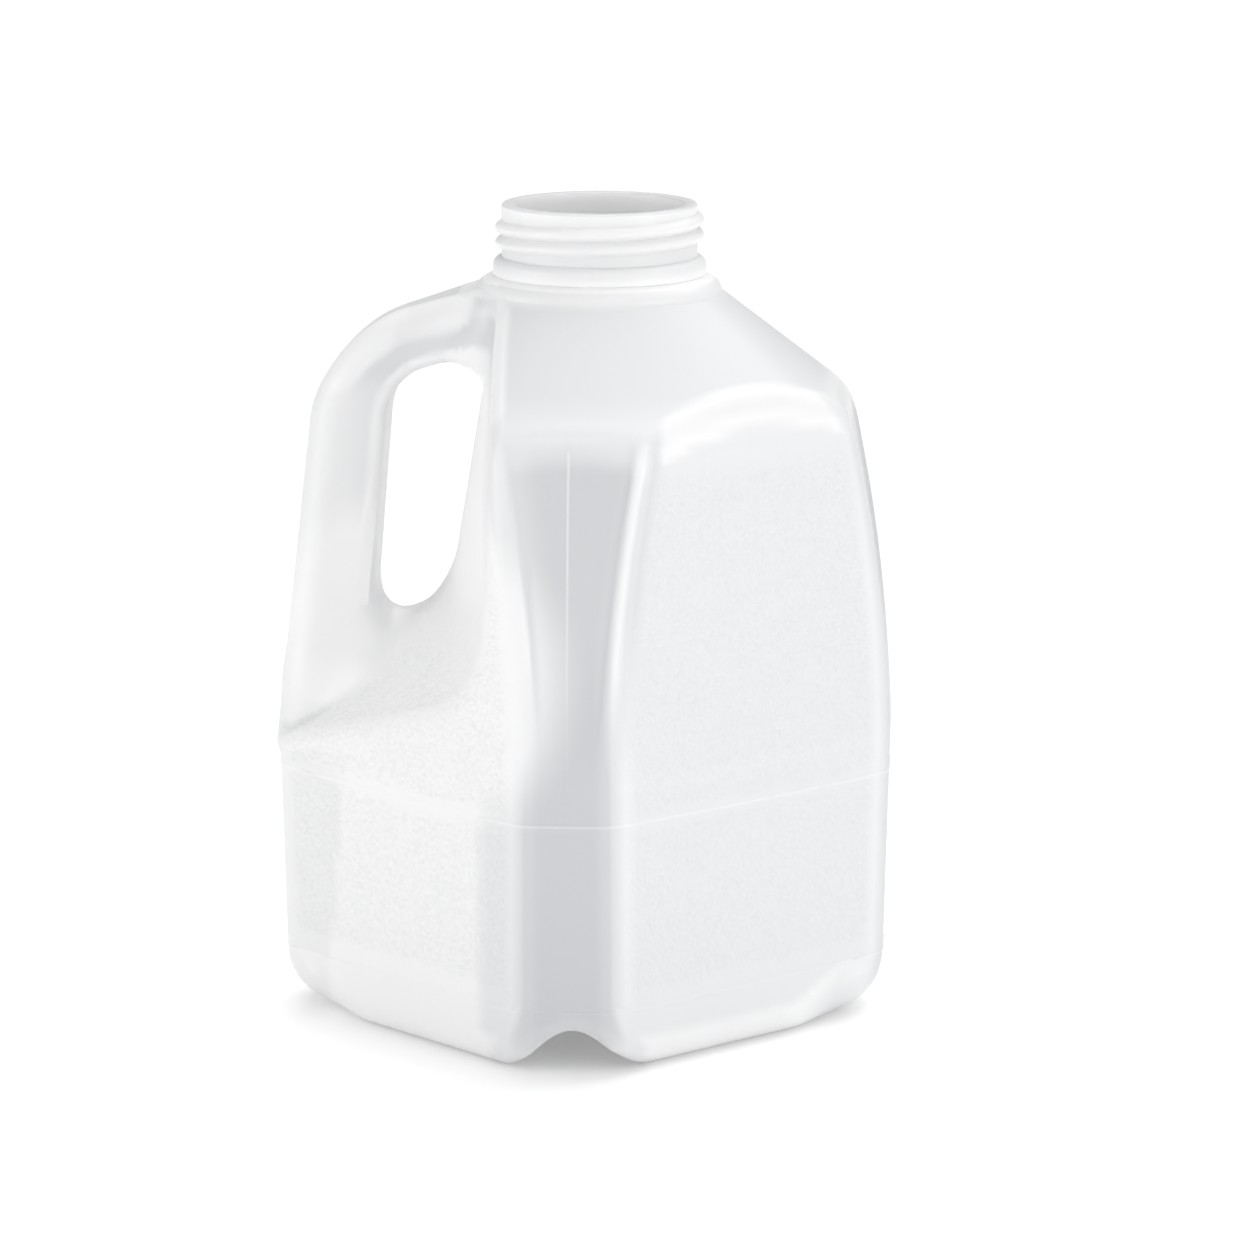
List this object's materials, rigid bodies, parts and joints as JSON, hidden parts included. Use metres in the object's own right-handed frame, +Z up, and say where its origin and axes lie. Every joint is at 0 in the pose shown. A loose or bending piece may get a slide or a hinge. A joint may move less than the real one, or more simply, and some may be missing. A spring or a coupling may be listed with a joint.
{
  "type": "plastic jug bottle",
  "caption": "Square hollow plastic jug with a moulded handle on one chamfered corner, a finger hole behind it and an open screw-thread neck.",
  "frame": {"origin": "on the ground under the middle of the square body", "axes": "+Z up, -X towards the handle's corner, +Y and -Y towards the two notched corners"},
  "size_m": [0.1133, 0.1124, 0.1499],
  "materials": {
    "jug": "milky unpigmented, satin"
  },
  "bodies": {
    "root": {"jug": "jug"}
  },
  "joints": []
}
